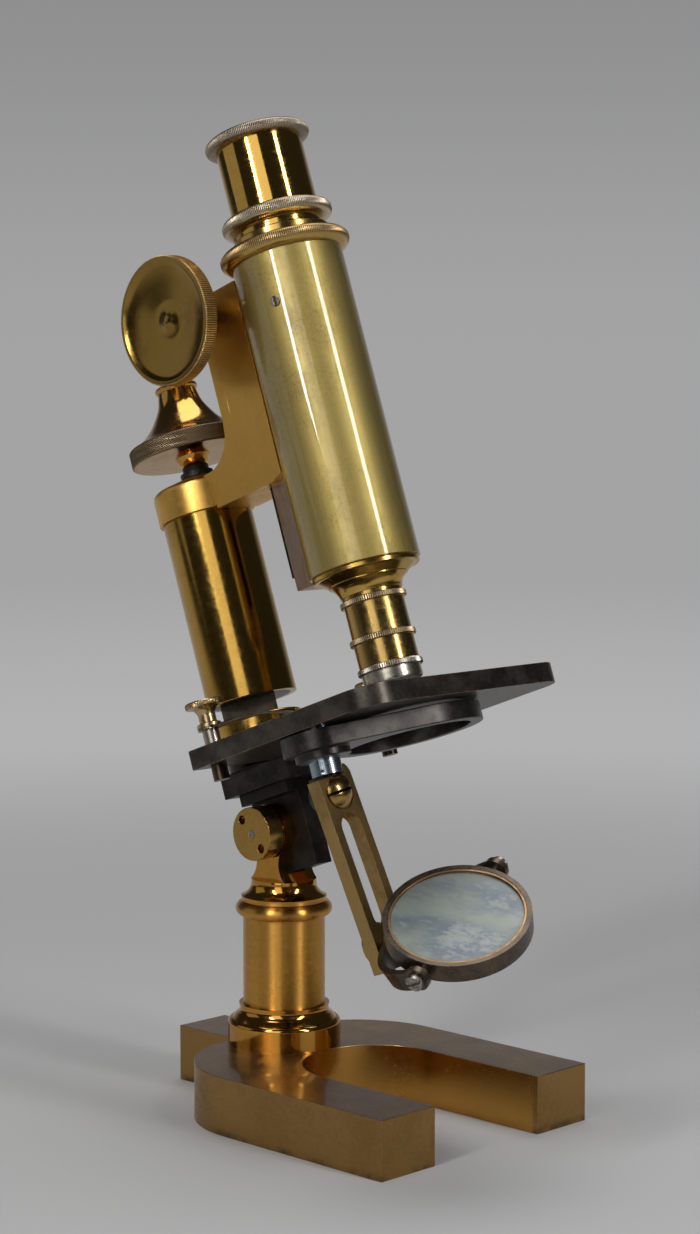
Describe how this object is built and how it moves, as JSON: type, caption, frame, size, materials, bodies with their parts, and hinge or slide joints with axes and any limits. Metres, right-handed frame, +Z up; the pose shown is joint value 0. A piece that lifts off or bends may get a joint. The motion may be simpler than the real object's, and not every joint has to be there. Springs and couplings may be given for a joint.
{
  "type": "compound microscope",
  "caption": "Brass compound microscope on a horseshoe foot, with inclining limb, rack focusing, milled fine focusing head, square stage, swing-out substage ring and swinging mirror.",
  "frame": {"origin": "on the table plane, on the axis of the pillar", "axes": "+Z up, +X towards the open end of the horseshoe, the instrument's plane of symmetry is Y = 0"},
  "size_m": [0.2119, 0.1135, 0.3554],
  "materials": {
    "lacquered_brass": "turned and brushed brass under aged golden lacquer",
    "bronzed_brass": "chemically darkened brass with worn edges",
    "nickel_silver": "dulled nickel plate",
    "steel": "bright and blued steel",
    "optical_glass": "polished lenses",
    "silvered_glass": "old silvered glass with mottled backing"
  },
  "bodies": {
    "stand": {"foot": "lacquered_brass", "foot_screws": "steel", "pillar_bolt": "steel", "pillar_base": "lacquered_brass", "pillar_column": "lacquered_brass", "fork_head": "lacquered_brass", "inclination_pin": "steel", "inclination_nuts": "lacquered_brass", "inclination_washers": "lacquered_brass"},
    "lower_limb": {"joint_block": "bronzed_brass", "stage_bracket": "bronzed_brass", "bracket_screws": "steel", "prism_boss": "lacquered_brass", "prism_bar": "steel", "stage": "bronzed_brass", "clip_posts": "lacquered_brass", "clip_thumb_heads": "lacquered_brass", "pivot_post": "steel"},
    "near_clip_arm": {"near_clip": "steel"},
    "far_clip_arm": {"far_clip": "steel"},
    "substage": {"substage_ring": "bronzed_brass"},
    "mirror_hanger": {"swivel_lug": "bronzed_brass", "mirror_bar_screw": "lacquered_brass"},
    "mirror_arm": {"mirror_bar": "lacquered_brass", "yoke_rivet": "lacquered_brass"},
    "yoke": {"mirror_yoke": "bronzed_brass", "yoke_pivot_screws": "steel"},
    "mirror": {"mirror_cell": "bronzed_brass", "mirror_bezels": "lacquered_brass", "plane_mirror": "silvered_glass", "concave_mirror": "silvered_glass"},
    "upper_limb": {"limb_sleeve": "lacquered_brass", "guide_plates": "steel", "arm": "lacquered_brass", "fine_spring": "steel", "pinion_cover": "lacquered_brass", "cover_screws": "steel"},
    "fine_head": {"fine_screw": "steel", "fine_knob": "lacquered_brass", "fine_knob_button": "lacquered_brass", "fine_screw_collar": "bronzed_brass"},
    "pinion": {"pinion_shaft": "steel", "near_coarse_knob": "lacquered_brass", "far_coarse_knob": "lacquered_brass"},
    "body": {"tube_slide": "nickel_silver", "rack": "steel", "rack_screws": "steel", "body_tube": "lacquered_brass", "tube_screw": "steel", "nosepiece": "lacquered_brass", "objective_mount": "lacquered_brass", "objective_barrel": "lacquered_brass", "objective_front_cell": "nickel_silver", "objective_lenses": "optical_glass", "tube_collar": "lacquered_brass"},
    "draw": {"draw_tube": "lacquered_brass", "draw_tube_ring": "nickel_silver"},
    "eyepiece": {"eyepiece_barrel": "lacquered_brass", "eyepiece_cap": "nickel_silver", "eyepiece_lenses": "optical_glass"}
  },
  "joints": [
    {"name": "inclination", "type": "hinge", "parent": "stand", "child": "lower_limb", "pos_m": [0, 0, 0.09925], "axis": [0, -1, 0], "range_deg": [-19.8, 70.2]},
    {"name": "fine_focus", "type": "slide", "parent": "lower_limb", "child": "upper_limb", "axis": [-0.3387, 0, 0.9409], "range_m": [-0.00149, 0.00149]},
    {"name": "fine_turn", "type": "hinge", "parent": "upper_limb", "child": "fine_head", "pos_m": [-0.04742, 0, 0.23097], "axis": [-0.3387, 0, 0.9409], "range_deg": [-1080, 1080]},
    {"name": "coarse_turn", "type": "hinge", "parent": "upper_limb", "child": "pinion", "pos_m": [-0.02909, 0, 0.28338], "axis": [0, -1, 0], "range_deg": [-8, 502]},
    {"name": "coarse_focus", "type": "slide", "parent": "upper_limb", "child": "body", "axis": [-0.3387, 0, 0.9409], "range_m": [-0.0005, 0.0349]},
    {"name": "draw_slide", "type": "slide", "parent": "body", "child": "draw", "axis": [-0.3387, 0, 0.9409], "range_m": [-0.002, 0.045]},
    {"name": "eyepiece_lift", "type": "slide", "parent": "draw", "child": "eyepiece", "axis": [-0.3387, 0, 0.9409], "range_m": [0, 0.03]},
    {"name": "near_clip_swing", "type": "hinge", "parent": "lower_limb", "child": "near_clip_arm", "pos_m": [0.00669, -0.0425, 0.14119], "axis": [-0.3387, 0, 0.9409], "range_deg": [-50, 20]},
    {"name": "far_clip_swing", "type": "hinge", "parent": "lower_limb", "child": "far_clip_arm", "pos_m": [0.00669, 0.0425, 0.14119], "axis": [-0.3387, 0, 0.9409], "range_deg": [-20, 50]},
    {"name": "substage_swing", "type": "hinge", "parent": "lower_limb", "child": "substage", "pos_m": [0.05838, -0.0395, 0.14078], "axis": [-0.3387, 0, 0.9409], "range_deg": [-120, 0]},
    {"name": "mirror_swing", "type": "hinge", "parent": "lower_limb", "child": "mirror_hanger", "pos_m": [0.0639, -0.0395, 0.12545], "axis": [-0.3387, 0, 0.9409], "range_deg": [-60, 78]},
    {"name": "mirror_bar_tilt", "type": "hinge", "parent": "mirror_hanger", "child": "mirror_arm", "pos_m": [0.06451, -0.0395, 0.12375], "axis": [0.9409, 0, 0.3387], "range_deg": [-13, 1.5]},
    {"name": "yoke_turn", "type": "hinge", "parent": "mirror_arm", "child": "yoke", "pos_m": [0.0857, -0.03249, 0.07554], "axis": [0.9409, 0, 0.3387], "range_deg": [-121, 59]},
    {"name": "mirror_turn", "type": "hinge", "parent": "yoke", "child": "mirror", "pos_m": [0.11533, -0.03249, 0.08621], "axis": [-0.1745, 0.8572, 0.4846], "continuous": true}
  ],
  "couplings": [
    {"joint": "fine_turn", "follows": "fine_focus", "rad_per_m": 12566},
    {"joint": "coarse_turn", "follows": "coarse_focus", "rad_per_m": 250}
  ]
}
